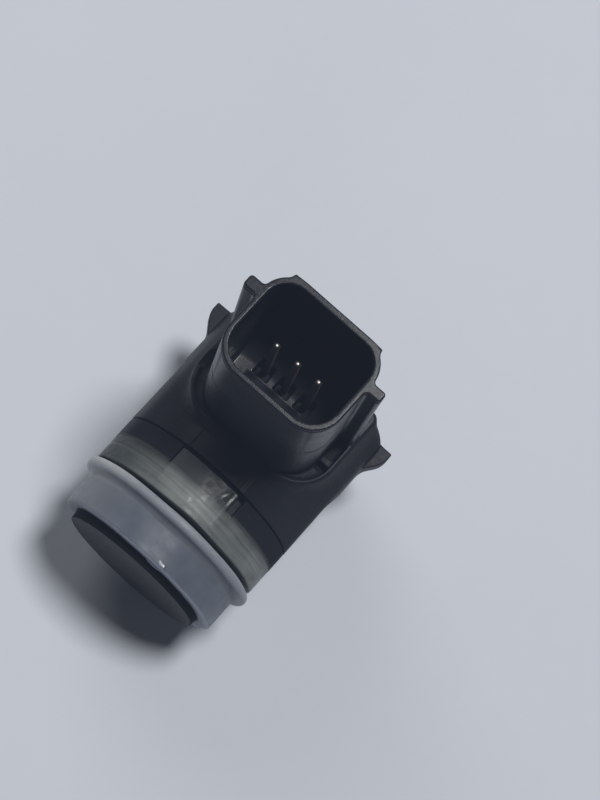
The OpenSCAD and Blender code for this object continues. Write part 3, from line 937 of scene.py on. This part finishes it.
# ---------------------------------------------------------------- the object

def dress(piece, material, slot, body, *nodes):
    """Gives a new piece its material and its body, and hides the CAD nodes it stands for. slot is not used.
    """
    piece.data.materials.append(material)
    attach(piece, body)
    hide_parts(*nodes)


def add_housing():
    # painted light patches: highlights on the shroud's upper left side and right front corner, and lighter
    # shade in the shaded recess left of the boss
    painted_light_patches = (((-6.6, 18.2, 21.0), 6.0, 0.8), ((6.0, 16.7, 22.5), 4.0, 0.6), ((-7.2, 16.9, 8.9), 2.6, 0.7))
    plastic = moulded_plastic(
        "housing_plastic", roughness=0.48, line_z=PARTING_Z, edges=((BOSS_Z, 0.05), (RIM_Z, 0.24)), painted_light_patches=painted_light_patches,
        floor=(FLOOR_Z, POCKET_Y[0] + 0.7))
    shell = make_piece("housing_shell", housing_field, HOUSING_LOW, HOUSING_HIGH, cell=0.14, keep=0.45)
    dress(shell, plastic, "housing_plastic", "sensor", "housing")


def add_collar():
    # painted light: a paler front edge, in place of light seen through the thin smoky collar
    smoky_edge_light_band = (COLLAR_LOW[1] - 0.05, COLLAR_LOW[1] + 0.35, colour(0.085, 0.096, 0.09))
    plastic = moulded_plastic("collar_plastic", shine=0.07, smoky_edge_light=smoky_edge_light_band)
    collar = make_piece("snap_collar", collar_field, COLLAR_LOW, COLLAR_HIGH, cell=0.11, keep=0.5)
    dress(collar, plastic, "collar_plastic", "sensor", "retaining_collar")


def add_inner_ring():
    # painted shade: darker towards -X, away from the high lamp, and darker from y 8.45 back, where the ring
    # lies deep in the windows; painted light: paler over the keys
    left = (colour(0.017, 0.024, 0.020), colour(0.02, 0.023, 0.025))
    green = silicone(
        "green_silicone", clear=colour(0.103, 0.114, 0.11), cloudy=colour(0.205, 0.224, 0.22),
        roughness=0.42, radius_mm=0.9, streak=0.6,
        painted_back_shading=(8.45, 9.2, colour(0.05, 0.056, 0.058)), left=left,
        gloss=((2.8, 10.2, 0.75, 0.9), (0.1, 7.45, 0.25, 0.25)), key=(3.5, 6.95, colour(0.55, 0.57, 0.56)))
    ring = make_piece("fixed_silicone_ring", inner_ring_field, INNER_LOW, INNER_HIGH, cell=0.11, keep=0.5)
    dress(ring, green, "green_silicone", "sensor", "inner_ring")


def add_nose():
    # painted light: paler towards the shaded -X side, paler on the flange and its step from y 3.9, and a
    # painted highlight along the front edge
    left = (colour(0.21, 0.22, 0.24), colour(0.36, 0.375, 0.38))
    clear = silicone(
        "clear_silicone", clear=colour(0.105, 0.125, 0.16), cloudy=colour(0.15, 0.17, 0.205),
        roughness=0.45, radius_mm=3.0, streak=0.1,
        painted_back_shading=(3.9, 4.7, colour(0.225, 0.243, 0.272)), left=left,
        gloss=((NOSE_GATE[0], NOSE_GATE[1], 0.6, 0.4),), rim=(NOSE_LOW[1] + 0.22, colour(0.30, 0.33, 0.39)))
    ring = make_piece("slip_on_silicone_ring", nose_field, NOSE_LOW, NOSE_HIGH, cell=0.11, keep=0.5)
    dress(ring, clear, "clear_silicone", "decoupling_ring", "decoupling_ring")


def add_pot():
    grey, black = colour(0.0235, 0.025, 0.0285), colour(0.0012, 0.0013, 0.002)
    paint = painted_pot("pot_coating", face=grey, side=black)
    pot = make_piece("transducer_pot", pot_field, POT_LOW, POT_HIGH, cell=0.12, keep=0.4)
    dress(pot, paint, "pot_coating", "sensor", "membrane_pot")


def add_cover():
    plastic = moulded_plastic("cover_plastic")
    cover = make_piece("back_cover", cover_field, COVER_LOW, COVER_HIGH, cell=0.12, keep=0.4)
    dress(cover, plastic, "cover_plastic", "sensor", "rear_cover")


def add_pins():
    tin = metal("tinned_pin", colour(0.5, 0.47, 0.44), roughness=0.4, darker_below=PIN_HIGH[2] - 0.35)
    for k, side in ((-1, "left"), (0, "middle"), (1, "right")):
        shift = k * PIN_PITCH
        low, high = PIN_LOW + (shift, 0, 0), PIN_HIGH + (shift, 0, 0)
        field = lambda x, y, z: pin_field(x - shift, y, z)
        pin = make_piece(f"pin_{side}", field, low, high, cell=0.06, keep=0.4)
        dress(pin, tin, "tinned_pin", "sensor", f"terminal_pin_{side}")


# sealed inner nodes: material name, two tones, patch size in millimetres and roughness
INNER_FINISHES = {
    "piezo_disc": ("piezo_ceramic", (0.60, 0.53, 0.38), (0.66, 0.60, 0.45), 0.5, 0.45),
    "damping_felt": ("felt", (0.42, 0.42, 0.40), (0.56, 0.56, 0.53), 0.25, 0.9),
    "pot_filler": ("white_silicone", (0.62, 0.62, 0.60), (0.70, 0.70, 0.67), 1.0, 0.4),
    "lead_wire_signal": ("wire_red", (0.42, 0.03, 0.02), (0.48, 0.05, 0.03), 0.5, 0.3),
    "lead_wire_ground": ("wire_black", (0.012, 0.012, 0.013), (0.02, 0.02, 0.02), 0.5, 0.3),
    "housing_seal": ("seal_rubber", (0.012, 0.012, 0.013), (0.02, 0.02, 0.02), 0.4, 0.5),
    "terminal_carrier": ("carrier_plastic", (0.014, 0.015, 0.018), (0.022, 0.024, 0.028), 0.6, 0.5),
    "circuit_board": ("board_laminate", (0.012, 0.09, 0.035), (0.02, 0.12, 0.05), 0.7, 0.35),
    "control_chip": ("chip_resin", (0.012, 0.012, 0.013), (0.02, 0.02, 0.022), 0.2, 0.6),
    "transformer_core": ("ferrite", (0.03, 0.03, 0.032), (0.05, 0.05, 0.05), 0.3, 0.5),
    "chip_capacitors": ("capacitor_ceramic", (0.36, 0.24, 0.13), (0.42, 0.29, 0.17), 0.3, 0.4),
    "chip_resistors": ("resistor_ceramic", (0.015, 0.016, 0.02), (0.02, 0.022, 0.026), 0.3, 0.35),
    "potting_compound": ("potting_resin", (0.012, 0.012, 0.013), (0.02, 0.02, 0.021), 1.5, 0.3),
}

# sealed inner nodes of metal: material name, colour and roughness
INNER_METALS = {
    "chip_leads": ("tinned_lead", (0.66, 0.66, 0.65), 0.25),
    "transformer_winding": ("copper_wire", (0.62, 0.24, 0.09), 0.3),
    "storage_capacitor": ("capacitor_can", (0.72, 0.72, 0.72), 0.25),
    "timing_crystal": ("crystal_can", (0.68, 0.66, 0.6), 0.25),
    "solder_joints": ("solder", (0.6, 0.6, 0.62), 0.2),
}


def finish_inner_nodes():
    """The sealed inner parts keep their CAD shape and get their own materials."""
    finishes = {}
    for node, (slot, base, other, size, roughness) in INNER_FINISHES.items():
        finishes[node] = matt_part(slot, colour(*base), colour(*other), size, roughness)
    for node, (slot, base, roughness) in INNER_METALS.items():
        finishes[node] = metal(slot, colour(*base), roughness)
    for node, material in finishes.items():
        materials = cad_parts[node].data.materials
        materials.clear()
        materials.append(material)


add_camera()
add_floor()
add_light()
set_film()
add_housing()
add_collar()
add_inner_ring()
add_nose()
add_pot()
add_cover()
add_pins()
finish_inner_nodes()
